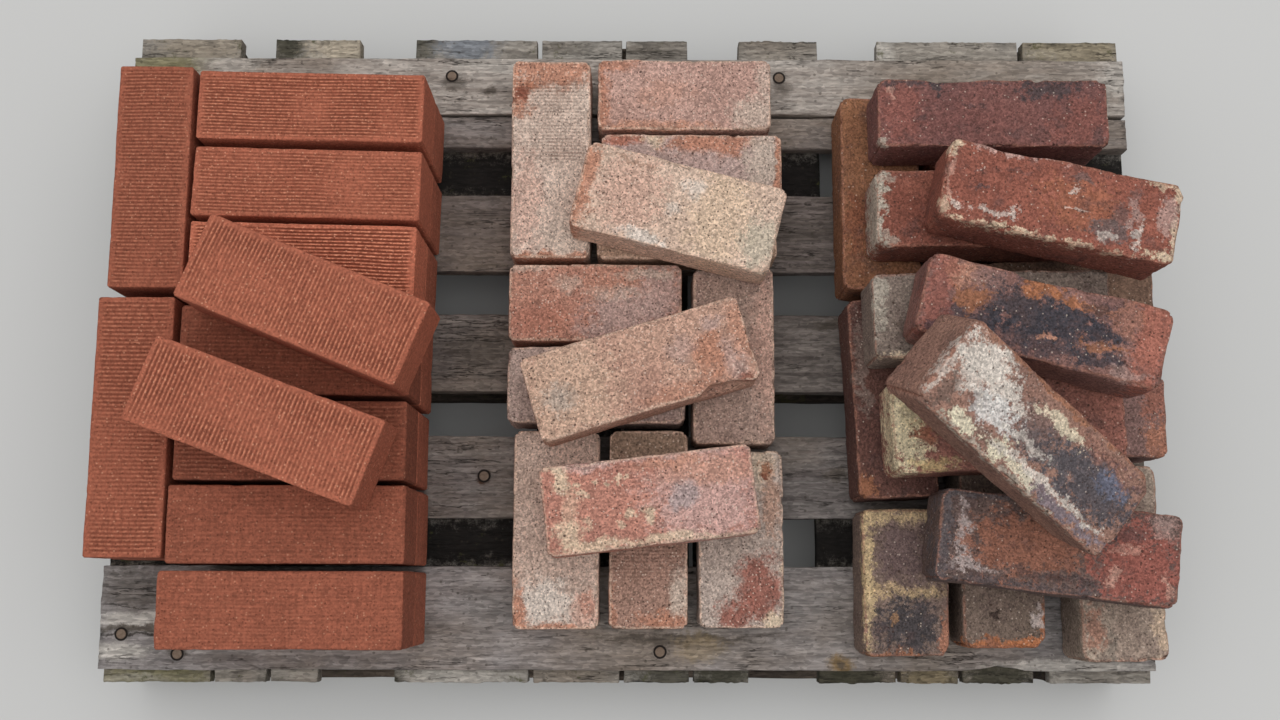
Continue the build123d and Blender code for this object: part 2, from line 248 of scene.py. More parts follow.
def joined(shapes):
    """Several shapes, each with its matrix, as one list of points, quads and values."""
    all_points, all_quads, all_values = [], [], {}
    for matrix, points, quads, values in shapes:
        turn = np.array(matrix)
        start = sum(len(p) for p in all_points)
        all_points.append(points @ turn[:3, :3].T + turn[:3, 3])
        all_quads.extend([tuple(i + start for i in quad) for quad in quads])
        for key, value in values.items():
            all_values.setdefault(key, []).append(value)
    merged = {key: np.concatenate(value) for key, value in all_values.items()}
    return np.concatenate(all_points), all_quads, merged


def make_object(name, node, shape, material, matrix=Matrix.Identity(4)):
    """A smooth mesh object at a place, riding on the load and standing for its CAD node."""
    points, quads, values = shape
    mesh = bpy.data.meshes.new(name)
    mesh.from_pydata(points.tolist(), [], quads)
    for key, value in values.items():
        attribute = mesh.attributes.new(key, "FLOAT", "POINT")
        attribute.data.foreach_set("value", value.astype(np.float32))
    mesh.shade_smooth()
    mesh.materials.append(material)
    piece = bpy.data.objects.new(name, mesh)
    bpy.context.scene.collection.objects.link(piece)
    piece.matrix_world = matrix
    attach(piece, "root")
    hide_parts(node)
    return piece


# Materials

class Nodes:
    """A small writer of node trees: values may be numbers, colours or other sockets."""

    def __init__(self, tree):
        self.tree = tree

    def put(self, socket, value):
        if isinstance(value, bpy.types.NodeSocket):
            self.tree.links.new(value, socket)
        elif socket.type == "RGBA" and len(value) == 3:
            socket.default_value = linear(value)
        else:
            socket.default_value = value

    def fill(self, node, *first, **named):
        """Set a node's first inputs in order, and others by name."""
        for socket, value in zip(node.inputs, first):
            self.put(socket, value)
        for key, value in named.items():
            self.put(node.inputs[key.replace("_", " ")], value)
        return node

    def add(self, kind, settings, *first, **named):
        node = self.tree.nodes.new(kind)
        for key, value in settings.items():
            setattr(node, key, value)
        return self.fill(node, *first, **named)

    def math(self, operation, *values):
        return self.add("ShaderNodeMath", {"operation": operation}, *values).outputs[0]

    def vector(self, operation, *values, **named):
        return self.add("ShaderNodeVectorMath", {"operation": operation}, *values, **named)

    def mix(self, amount, first, second, blend="MIX"):
        made = self.add("ShaderNodeMix", {"data_type": "RGBA", "blend_type": blend}, amount)
        self.put(made.inputs[6], first)
        self.put(made.inputs[7], second)
        return made.outputs[2]

    def step(self, value, low, high):
        """A soft step from 0 at low to 1 at high."""
        soft = {"interpolation_type": "SMOOTHSTEP"}
        made = self.add("ShaderNodeMapRange", soft, Value=value, From_Min=low, From_Max=high)
        return made.outputs["Result"]


class Shader(Nodes):
    """A material that is built up layer by layer over its colour."""

    def __init__(self, name, shift=0.0):
        self.material = bpy.data.materials.new(name)
        self.material.use_nodes = True
        super().__init__(self.material.node_tree)
        self.bsdf = self.tree.nodes["Principled BSDF"]
        self.shift = shift
        self.place = self.add("ShaderNodeTexCoord", {}).outputs["Object"]
        self.colour = None

    def stretched(self, stretch, offset):
        shift = self.shift + offset
        corner = (shift, shift * 0.7, shift * 1.3)
        scale = stretch or (1, 1, 1)
        made = self.add("ShaderNodeMapping", {}, Vector=self.place, Location=corner, Scale=scale)
        return made.outputs["Vector"]

    def noise(self, scale, detail, rough, stretch=None, offset=0.0, distortion=0.0, out="Fac"):
        """Noise from 0 to 1 about 0.5; scale is in cycles a metre."""
        made = self.add("ShaderNodeTexNoise", {}, Vector=self.stretched(stretch, offset), Scale=scale,
                        Detail=detail, Roughness=rough, Distortion=distortion)
        return made.outputs[out]

    def cells(self, scale, offset=0.0, stretch=None):
        """Small cells: the distance from each one's middle, and its own random value."""
        place = self.stretched(stretch, offset)
        made = self.add("ShaderNodeTexVoronoi", {}, Vector=place, Scale=scale)
        apart = self.add("ShaderNodeSeparateColor", {}, Color=made.outputs["Color"])
        return made.outputs["Distance"], apart.outputs[0]

    def grains(self, scale, offset=0.0, stretch=None):
        """A random value from 0 to 1 for each small cell."""
        return self.cells(scale, offset, stretch)[1]

    def dots(self, scale, share, radius, offset=0.0):
        """Round spots in a share of the cells, with that radius as a part of a cell."""
        distance, chance = self.cells(scale, offset)
        chosen = self.math("LESS_THAN", chance, share)
        return self.math("MULTIPLY", self.step(distance, radius, radius * 0.6), chosen)

    def attribute(self, name):
        return self.add("ShaderNodeAttribute", {"attribute_name": name}).outputs["Fac"]

    def comb(self):
        """The comb's crests and its grooves, each from 0 to 1."""
        turn = self.math("MULTIPLY", self.attribute("phase"), 2 * math.pi)
        wave = self.math("MULTIPLY_ADD", self.math("COSINE", turn), 0.5, 0.5)
        marked = self.attribute("comb")
        crest = self.math("MULTIPLY", wave, marked)
        return crest, self.math("SUBTRACT", marked, crest)

    def over(self, tint, mask, strength=1.0):
        """Lay a tint over the colour where the mask is 1, as strong as that."""
        self.colour = self.mix(self.math("MULTIPLY", mask, strength), self.colour, tint)

    def shade(self, value, reach):
        """Lighten or darken the colour by a value from 0 to 1, up to that reach either way."""
        tint = self.math("MULTIPLY_ADD", value, 2 * reach, 1 - reach)
        self.colour = self.mix(1.0, self.colour, tint, "MULTIPLY")

    def prepare_patches(self, wander_mm, scale):
        """Bend the piece's own axes a little, so that patches get natural outlines."""
        bent = self.noise(scale, 4.0, 0.7, offset=11.0, out="Color")
        off = self.vector("SUBTRACT", bent, (0.5, 0.5, 0.5)).outputs[0]
        moved = self.vector("SCALE", off, Scale=wander_mm * 4 * MM).outputs[0]
        self.bent_place = self.vector("ADD", self.place, moved).outputs[0]
        self.fine = self.math("SUBTRACT", self.noise(110, 6.0, 0.85, offset=17.0), 0.5)

    def patch(self, tint, middle, reach, strength=1.0, ragged=1.2, edge=0.5):
        """A patch of colour about a place, its edge broken up."""
        made = self.add("ShaderNodeMapping", {"vector_type": "TEXTURE"},
                        Vector=self.bent_place, Location=middle, Scale=reach)
        length = self.vector("LENGTH", made.outputs["Vector"]).outputs["Value"]
        distance = self.math("MULTIPLY_ADD", self.fine, ragged * 2, length)
        self.over(tint, self.step(distance, 1 + edge, 1 - edge), strength)

    def finish(self, gain, height, depth_mm, roughness=0.92):
        """Make the colour lighter or darker all over, and add the relief."""
        colour = self.mix(1.0, self.colour, (gain, gain, gain, 1.0), "MULTIPLY")
        bump = self.add("ShaderNodeBump", {}, Height=height, Distance=depth_mm * MM, Strength=1.0)
        self.fill(self.bsdf, Base_Color=colour, Normal=bump.outputs["Normal"],
                  Roughness=roughness, Specular_IOR_Level=0.25)
        return self.material


def combed_material(name, shift, woven, lightness_and_shade=1.0):
    """Terracotta with painted highlights on the comb crests, painted shade in the comb grooves, a woven
    print and pale grains.
    """
    clay = Shader(name, shift)
    clay.colour = clay.mix(clay.noise(9, 3, 0.6), (160, 92, 71), (172, 102, 79))
    threads_x = clay.noise(95, 3, 0.6, stretch=(0.25, 3.4, 1.0), offset=3)
    threads_y = clay.noise(95, 3, 0.6, stretch=(3.4, 0.25, 1.0), offset=6)
    clay.shade(threads_x, woven)
    clay.shade(threads_y, woven * 0.8)
    grain = clay.grains(520)
    clay.shade(grain, 0.24)
    crest, groove = clay.comb()
    # Painted highlight: paler dots along the comb crests, where light catches the ridges
    lit = clay.step(clay.noise(230, 3, 0.7, offset=12), 0.40, 0.66)
    clay.over((226, 148, 116), clay.math("MULTIPLY", crest, lit), 0.8)
    # Painted shade: the comb grooves darkened
    clay.over((90, 40, 25), groove, 0.66)
    clay.over((222, 160, 130), clay.dots(300, 0.14, 0.34, offset=4), 0.6)
    clay.over((88, 42, 28), clay.dots(300, 0.22, 0.36, offset=9), 0.55)
    height = clay.math("MULTIPLY_ADD", grain, 0.4, clay.noise(480, 3, 0.6, offset=2))
    height = clay.math("MULTIPLY_ADD", groove, -1.6, height)
    # The lightness is partly the brick's own tone and partly painted light and shade
    return clay.finish(lightness_and_shade, height, 0.5)


# Looks of the two old stacks. Patches: how far their outlines wander in millimetres, their
# strength, how ragged and how soft they are. Then how strong each layer is, dots as share
# and strength, the relief in millimetres, and a gain that evens out what the layers darken.
SPECKLED_LOOK = {
    "wander": 8, "patch": 0.85, "ragged": 1.6, "edge": 0.4, "worn": 0.7, "pale": 0.22,
    "black": 0.16, "blotch": 0.12, "grain": 0.38, "mottle": 0.20, "dark": (0.34, 0.85),
    "light": (0.26, 0.5), "depth": 0.9, "gain": 1.2,
}
RECLAIMED_LOOK = {
    "wander": 10, "patch": 0.95, "ragged": 2.2, "edge": 0.22, "worn": 0.5, "pale": 0.16,
    "black": 0.4, "blotch": 0.5, "grain": 0.34, "mottle": 0.4, "dark": (0.26, 0.75),
    "light": (0.10, 0.4), "depth": 1.4, "gain": 1.28,
}


def clay_material(name, shift, look, first, second, patches, rim):
    """Old clay: patches of colour over two base tones, worn rims, grains, pits and painted shade in the
    comb grooves.
    """
    clay = Shader(name, shift)
    clay.colour = clay.mix(clay.step(clay.noise(14, 4, 0.6), 0.36, 0.64), first, second)
    clay.prepare_patches(look["wander"], 45)
    for tint, middle, reach, strength in patches:
        clay.patch(tint, middle, reach, strength, look["ragged"], look["edge"])
    broken_rim = clay.math("MULTIPLY_ADD", clay.fine, 3.0, clay.attribute("rim"))
    clay.over(rim, clay.step(broken_rim, 0.5, 1.0), look["worn"])
    blotch = clay.step(clay.noise(34, 6, 0.8, offset=41), 0.50, 0.66)
    clay.over((84, 66, 64), blotch, look["blotch"])
    pale = clay.step(clay.noise(240, 6, 0.85, offset=31), 0.58, 0.68)
    clay.over((206, 184, 168), pale, look["pale"])
    black = clay.step(clay.noise(190, 6, 0.85, offset=37), 0.58, 0.68)
    clay.over((74, 60, 56), black, look["black"])
    clay.shade(clay.noise(330, 4, 0.8, offset=5), look["mottle"])
    grain = clay.grains(560, offset=1)
    clay.shade(grain, look["grain"])
    clay.shade(clay.grains(360, offset=21), look["grain"] * 0.5)
    share, strength = look["light"]
    clay.over((232, 214, 198), clay.dots(300, share, 0.32, offset=4), strength)
    share, strength = look["dark"]
    dark = clay.math("MULTIPLY", clay.dots(250, share, 0.26, offset=9), strength)
    holes = clay.math("MULTIPLY", clay.dots(95, 0.20, 0.16, offset=14), 0.8)
    pits = clay.math("MAXIMUM", dark, holes)
    clay.over((66, 48, 42), pits)
    groove = clay.comb()[1]
    # Painted shade: the comb grooves darkened
    clay.over((96, 66, 52), groove, 0.36)
    height = clay.math("MULTIPLY_ADD", grain, 0.35, clay.noise(300, 4, 0.7, offset=2))
    height = clay.math("MULTIPLY_ADD", pits, -0.7, height)
    height = clay.math("MULTIPLY_ADD", groove, -0.8, height)
    return clay.finish(look["gain"], height, look["depth"])


WOOD_GAIN = 1.1
OLD_IRON = (84, 66, 54)
BRIGHT_IRON = (150, 132, 116)


def wood_material(name, shift, pale, dark, moss=0.0, patches=(), figure=0.3):
    """Weathered grey boards: streaks along the grain, dark checks, a little moss."""
    wood = Shader(name, shift)

    def grained(scale, detail, rough, long, short, **rest):
        return wood.noise(scale, detail, rough, (long, short, short), **rest)

    streak = grained(7, 8, 0.72, 1.0, 11.0, distortion=0.6)
    wood.colour = wood.mix(wood.step(streak, 0.32, 0.68), dark, pale)
    drift = wood.noise(3.2, 4, 0.6, offset=2)
    wood.over((132, 118, 104), wood.step(drift, 0.42, 0.7), 0.7)
    wood.prepare_patches(6, 30)
    for tint, middle, reach, strength in patches:
        wood.patch(tint, middle, reach, strength)
    bands = grained(11, 3, 0.6, 0.55, 7.0, offset=8, distortion=2.2)
    wood.shade(bands, figure)
    fine = grained(26, 6, 0.8, 0.8, 9.0, offset=5)
    wood.shade(fine, 0.85)
    wood.shade(wood.grains(420, stretch=(0.35, 1.0, 1.0)), 0.26)
    level = grained(5, 5, 0.7, 1.0, 12.0, offset=13)
    line = wood.math("ABSOLUTE", wood.math("SUBTRACT", level, 0.5))
    where = wood.step(grained(9, 3, 0.6, 1.0, 3.0, offset=19), 0.50, 0.60)
    cracks = wood.math("MULTIPLY", wood.step(line, 0.010, 0.003), where)
    checks = wood.step(grained(18, 6, 0.8, 0.8, 12.0, offset=7), 0.37, 0.31)
    dark_lines = wood.math("MAXIMUM", cracks, wood.math("MULTIPLY", checks, 0.75))
    wood.over((44, 38, 34), dark_lines, 0.8)
    if moss:
        spread = wood.noise(30, 6, 0.8, offset=9)
        growth = wood.step(spread, 0.62 - moss * 0.16, 0.70 - moss * 0.1)
        wood.over((78, 78, 46), growth, 0.75)
    wood.over((58, 52, 44), wood.dots(150, 0.14, 0.3, offset=23), 0.5)
    iron = wood.attribute("iron")
    rust = wood.mix(wood.noise(300, 4, 0.8, offset=3), OLD_IRON, BRIGHT_IRON)
    wood.over((34, 28, 25), wood.step(iron, 0.1, 0.4))
    wood.over(rust, wood.step(iron, 0.55, 0.95))
    height = wood.math("SUBTRACT", fine, wood.math("MULTIPLY", dark_lines, 0.9))
    return wood.finish(WOOD_GAIN, height, 1.3, 0.88)


# Bricks

# How a family of bricks is worn: arris and corner radius, lumps, roughness, nicks, and the
# step of its mesh
Style = namedtuple("Style", "radius corner lump rough nick step")
COMBED = Style(radius=0.0028, corner=0.0030, lump=0.0010, rough=0.0003, nick=0.0008, step=0.0050)
SPECKLED = Style(radius=0.0055, corner=0.0100, lump=0.0026, rough=0.0008, nick=0.0045, step=0.0036)
RECLAIMED = Style(radius=0.0066, corner=0.0125, lump=0.0040, rough=0.0011, nick=0.0060, step=0.0036)

HIDDEN_COARSE = 2.2
UPRIGHT_COARSE = 1.6
RIM_REACH = 0.006
NICK_REACH = 0.0075
CHIP_ROUGHNESS = 0.0006

# Random fields over a brick: cell size, seed step and share
WEAR = ((0.045, 0, 0.5), (0.014, 1, 0.45))
LUMPS = ((0.075, 2, 0.6), (0.022, 3, 0.4))
ROUGH_CELL = 0.006
NICKS = ((0.017, 9, 0.7), (0.006, 10, 0.5))


# Comb marks on a top face: the axis that they follow one another along, their pitch in
# millimetres, how deep they are, and the stretch of the brick that they cover in millimetres
ALONG = 0
ACROSS = 1
Comb = namedtuple("Comb", "axis pitch depth low high", defaults=(1.0, -200, 200))
COMB_SAMPLES = 3.2
COMB_STEP = 0.0055
COMB_DEPTH = 0.0008
COMB_WANDER = 0.0009
COMB_MARGIN = 0.003
SIDE_FADE = 0.005
TOOTH_FADE = 0.004
COMB_FADE = 0.008


def comb_marks(points, normal, half, comb, seed):
    """How strongly the comb has marked each point, and how many teeth along it lies."""
    axis, across = comb.axis, 1 - comb.axis
    low, high = comb.low * MM, comb.high * MM
    along = points[:, axis]
    phase = (along + field(points, 0.05, seed + 5) * COMB_WANDER) / (comb.pitch * MM)
    inside = smooth(0, SIDE_FADE, half[across] - COMB_MARGIN - np.abs(points[:, across]))
    inside *= smooth(0, TOOTH_FADE, half[axis] - COMB_MARGIN - np.abs(along))
    inside *= smooth(low - COMB_FADE, low + COMB_FADE, along)
    inside *= smooth(-high - COMB_FADE, -high + COMB_FADE, -along)
    strength = 0.5 + 0.5 * smooth(-0.7, 0.3, field(points, 0.045, seed + 6))
    return (normal[:, 2] > 0.9) * inside * strength * comb.depth, phase


BITE_FADE = 0.004


def bitten(points, half, bites):
    """Points moved in where a gap has broken out of a top arris."""
    for middle, side, run, inward, down in bites:
        along = [middle - run / 2, middle - run / 4, middle + run / 6, middle + run / 2]
        profile = np.array([0, inward, inward * 0.75, 0])
        depth = np.interp(points[:, 0], np.array(along) * MM, profile * MM)
        foot = half[2] - down * MM
        high = smooth(foot - BITE_FADE, foot, points[:, 2])
        limit = half[1] - depth * high
        outside = side * points[:, 1] > limit
        points[outside, 1] = side * limit[outside]
    return points


def brick_shape(size, style, seed, planes=(), comb=None, bites=(), coarse=1.0):
    """Points, quads and surface values of one brick about its own middle."""
    half = size / 2
    rim = style.radius * 1.5
    steps = [style.step * coarse] * 2
    if comb:
        steps = [COMB_STEP, COMB_STEP]
        steps[comb.axis] = comb.pitch * MM / COMB_SAMPLES
    steps.append(style.step * UPRIGHT_COARSE * coarse)
    points, quads = block_grid(*[ticks(reach, rim, step) for reach, step in zip(half, steps)])
    wear = layers(points, seed, WEAR)
    gap = np.sort(half - np.abs(points), axis=1)[:, 1]
    shaped, normal = rounded(points, half, style.radius * (1 + 0.65 * wear), style.corner)
    dent = style.lump * (0.5 - 0.5 * layers(points, seed, LUMPS))
    dent += style.rough * (0.5 - 0.5 * field(points, ROUGH_CELL, seed + 4))
    nicks = smooth(0.25, 0.75, layers(points, seed, NICKS))
    dent += style.nick * nicks * np.exp(-(gap / NICK_REACH) ** 2)
    none = np.zeros(len(points))
    values = {"comb": none, "phase": none, "rim": np.exp(-(gap / RIM_REACH) ** 2)}
    if comb:
        marks, phase = comb_marks(points, normal, half, comb, seed)
        values["comb"], values["phase"] = marks, phase
        dent += COMB_DEPTH * marks * (0.5 - 0.5 * np.cos(phase * 2 * math.pi))
    shaped = bitten(shaped - normal * dent[:, None], half, bites)
    for slope, reach in planes:
        ragged = CHIP_ROUGHNESS * field(points, ROUGH_CELL, seed + 12)
        beyond = shaped @ slope - reach - ragged
        shaped -= np.maximum(beyond, 0)[:, None] * slope
    return shaped, quads, values


def brick_piece(node, style, seed, material, comb=None, bites=()):
    """One visible brick in place of its CAD solid."""
    solid = loose_solids(node)[0]
    matrix, size = lie_of(solid)
    shape = brick_shape(size, style, seed, chip_planes(solid, matrix), comb, bites)
    make_object("fired_" + node, node, shape, material, matrix)


def brick_group(node, style, seed, material):
    """All the bricks of a node that holds several, joined as one piece."""
    shapes = []
    for number, solid in enumerate(loose_solids(node)):
        matrix, size = lie_of(solid)
        shapes.append((matrix, *brick_shape(size, style, seed + number * 11, coarse=HIDDEN_COARSE)))
    make_object("fired_" + node, node, joined(shapes), material)


# The left stack: comb marks, and how light each brick is against plain terracotta: partly its own tone,
# partly painted light and shade, darker where neighbours shade a brick and lighter where more light
# falls on it
LEFT = {
    "left_upper_brick_1": (Comb(ALONG, 4.0, 0.8), 0.9),
    "left_upper_brick_2": (Comb(ALONG, 4.38, 0.8), 0.95),
    "left_upper_brick_3": (Comb(ACROSS, 3.62), 1.1),
    "left_upper_brick_4": (Comb(ACROSS, 3.79, 0.8), 1.1),
    "left_upper_brick_5": (Comb(ACROSS, 3.79, 1.3), 1.4),
    "left_upper_brick_6": (Comb(ACROSS, 4.4, 0.35), 0.66),
    "left_upper_brick_7": (Comb(ACROSS, 4.4, 0.6), 0.66),
    "left_upper_brick_8": (Comb(ACROSS, 4.4, 0.22), 0.76),
    "left_upper_brick_9": (Comb(ACROSS, 3.83, 0.2), 0.85),
    "left_loose_brick_1": (Comb(ALONG, 4.15), 1.1),
    "left_loose_brick_2": (Comb(ALONG, 4.43), 1.1),
}
WOVEN = 0.40
LESS_WOVEN = 0.16
CLEAR_COMB = 0.7

# Colours of the old bricks
ORANGE = (170, 116, 92)
SOFT_ORANGE = (180, 132, 110)
TAN = (166, 106, 72)
RED = (160, 100, 80)
RUST = (128, 72, 56)
BURNT = (140, 90, 78)
BROWN = (146, 98, 72)
UMBER = (104, 86, 78)
STRAW = (190, 166, 128)
BUFF = (202, 176, 150)
CREAM = (204, 184, 158)
IVORY = (210, 200, 176)
WHITE = (204, 194, 184)
PALE = (186, 170, 156)
LIME = (176, 168, 154)
ROSE = (190, 154, 144)
PINK = (190, 150, 134)
LILAC = (168, 142, 134)
BLOOM = (174, 160, 156)
ASH = (102, 88, 86)
LEAD = (90, 84, 86)
SOOT = (64, 60, 62)
COAL = (60, 58, 64)
MIDDLE_RIM = (206, 176, 156)
RIGHT_RIM = (158, 112, 94)

# The two old stacks: two base tones of each brick, then its patches as colour, middle and
# reach in millimetres in the brick's own axes, and how strong each is
MIDDLE = {
    "middle_brick_1": ((204, 184, 170), (194, 172, 158), (
        (PINK, -55, 28, 60, 18, 0.6), (ORANGE, 110, 0, 24, 60), (ORANGE, 74, 38, 24, 16),
        (RUST, 77, 36, 9, 11), (ORANGE, -118, 0, 7, 60), (PALE, -95, -20, 18, 26, 0.5),
    )),
    "middle_brick_2": ((180, 146, 134), (170, 136, 124), (
        (ORANGE, -98, -6, 10, 40, 0.9), (ORANGE, -78, 37, 26, 8, 0.8),
        (SOFT_ORANGE, -35, -38, 60, 8, 0.9), (PALE, 82, -25, 26, 22, 0.8), (PALE, 94, 20, 10, 20, 0.6),
        (SOFT_ORANGE, -25, 2, 30, 16, 0.4),
    )),
    "middle_brick_3": ((180, 156, 150), (170, 146, 138), (
        (RED, -78, 36, 28, 9), (CREAM, -42, 34, 12, 9, 0.8), (ORANGE, 22, 31, 52, 16),
        (LILAC, 0, 10, 34, 10, 0.8), (PALE, 84, 8, 22, 34, 0.9), (ORANGE, 102, 0, 6, 60),
    )),
    "middle_brick_4": ((172, 144, 124), (164, 134, 114), ()),
    "middle_brick_5": ((172, 126, 108), (162, 116, 100), (
        (LILAC, 36, -14, 46, 24, 1.1), (LILAC, 74, 12, 26, 34, 1.0), (PALE, 58, 33, 32, 6, 0.7),
        (LILAC, 8, -34, 30, 12, 0.9), (PALE, -30, 20, 16, 10, 0.5), (PALE, 20, 10, 30, 8, 0.4),
        (RUST, 1, -11, 4, 2.5, 0.9), (PALE, -75, 40, 24, 6, 0.6), (RED, -60, -20, 36, 18, 0.4),
    )),
    "middle_brick_6": ((168, 146, 136), (152, 130, 122), ()),
    "middle_brick_7": ((156, 132, 120), (146, 122, 112), ((PINK, 10, -35, 80, 14, 0.6),)),
    "middle_brick_8": ((186, 162, 148), (174, 150, 136), (
        (WHITE, -80, 12, 26, 32, 0.8), (ORANGE, -92, 43, 36, 9), (ORANGE, -109, 0, 6, 60),
        (PINK, -90, -32, 18, 12, 0.8), (RED, -80, -36, 12, 6, 0.5),
    )),
    "middle_brick_9": ((152, 120, 106), (142, 112, 98), (
        (ORANGE, -100, -26, 12, 34, 0.8), (ORANGE, -92, 41, 26, 6, 0.6), (PALE, -70, -34, 28, 10, 0.9),
        ((130, 112, 94), 96, 0, 34, 60, 0.9),
    )),
    "middle_brick_10": ((172, 156, 146), (160, 144, 134), (
        (BURNT, -52, -20, 34, 25, 1.1), (BURNT, -84, 10, 18, 17, 1.1), (CREAM, -90, -40, 10, 14, 0.9),
        (BURNT, -72, -10, 14, 12, 1.0), (CREAM, -50, -50, 50, 3, 0.8), (CREAM, 80, -24, 24, 16, 0.6),
        ((170, 128, 106), 40, -34, 40, 9, 0.7), (BROWN, 76, -28, 9, 7, 1.0), (RUST, 70, -28, 4, 3, 0.8),
    )),
    "middle_loose_brick_1": ((204, 178, 160), (192, 166, 148), (
        (ORANGE, -108, 0, 13, 60), (PINK, -55, 0, 38, 44, 0.7), (BUFF, 48, 0, 34, 60, 0.8),
        ((180, 170, 152), 98, -18, 20, 32, 0.9), (WHITE, -30, -42, 28, 7, 0.9),
        (WHITE, 12, 24, 11, 11, 0.7), (WHITE, -8, -3, 9, 7, 0.6),
        ((140, 108, 90), -60, 38, 32, 2.5, 0.6),
    )),
    "middle_loose_brick_2": ((180, 144, 126), (168, 130, 114), (
        ((192, 164, 142), -85, 0, 52, 60, 0.7), ((164, 154, 144), -92, -8, 16, 16, 0.7),
        (SOOT, -92, -8, 5, 3, 0.4), (ORANGE, 78, -6, 20, 24, 0.8), (ORANGE, 40, -36, 50, 8, 0.5),
        (LILAC, 86, 24, 14, 8, 0.9), (LILAC, 102, -22, 12, 24, 0.8), (LILAC, 50, 8, 16, 14, 0.6),
        (SOFT_ORANGE, 114, 10, 10, 36, 0.8), (RUST, 95, -47, 26, 7, 0.8), (RUST, -50, -49, 44, 3, 0.5),
    )),
    "middle_loose_brick_3": ((176, 124, 108), (166, 116, 102), (
        ((186, 152, 144), 60, -2, 58, 60, 1.0), (SOFT_ORANGE, 62, 24, 50, 16, 0.7),
        ((154, 142, 142), 38, -2, 16, 13, 0.8), (SOFT_ORANGE, 25, 38, 40, 8, 0.7),
        ((186, 156, 148), -60, 45, 46, 6, 0.8), (LILAC, 0, 48, 130, 5, 0.6),
        (CREAM, -93, 30, 9, 12, 0.9), (CREAM, -100, 44, 12, 4, 0.8), (CREAM, -72, 17, 7, 4, 0.8),
        (CREAM, -76, 26, 4, 3, 0.8), (CREAM, -54, 26, 4, 3, 0.8), (CREAM, -42, 22, 3, 3, 0.8),
        (CREAM, -32, 27, 4, 2.5, 0.8), (CREAM, -22, 26, 3, 2.5, 0.7), (CREAM, -3, -16, 6, 7, 0.9),
        (CREAM, -24, -15, 6, 5, 0.8), (CREAM, -34, -22, 4, 3, 0.8), (CREAM, -68, -17, 5, 6, 0.6),
        (CREAM, -90, -26, 14, 14, 0.8), (CREAM, -64, -40, 34, 7, 0.8), (CREAM, 12, -43, 40, 6, 0.8),
        (CREAM, 80, -47, 40, 3, 0.7), (CREAM, -84, 0, 8, 24, 0.4),
    )),
}
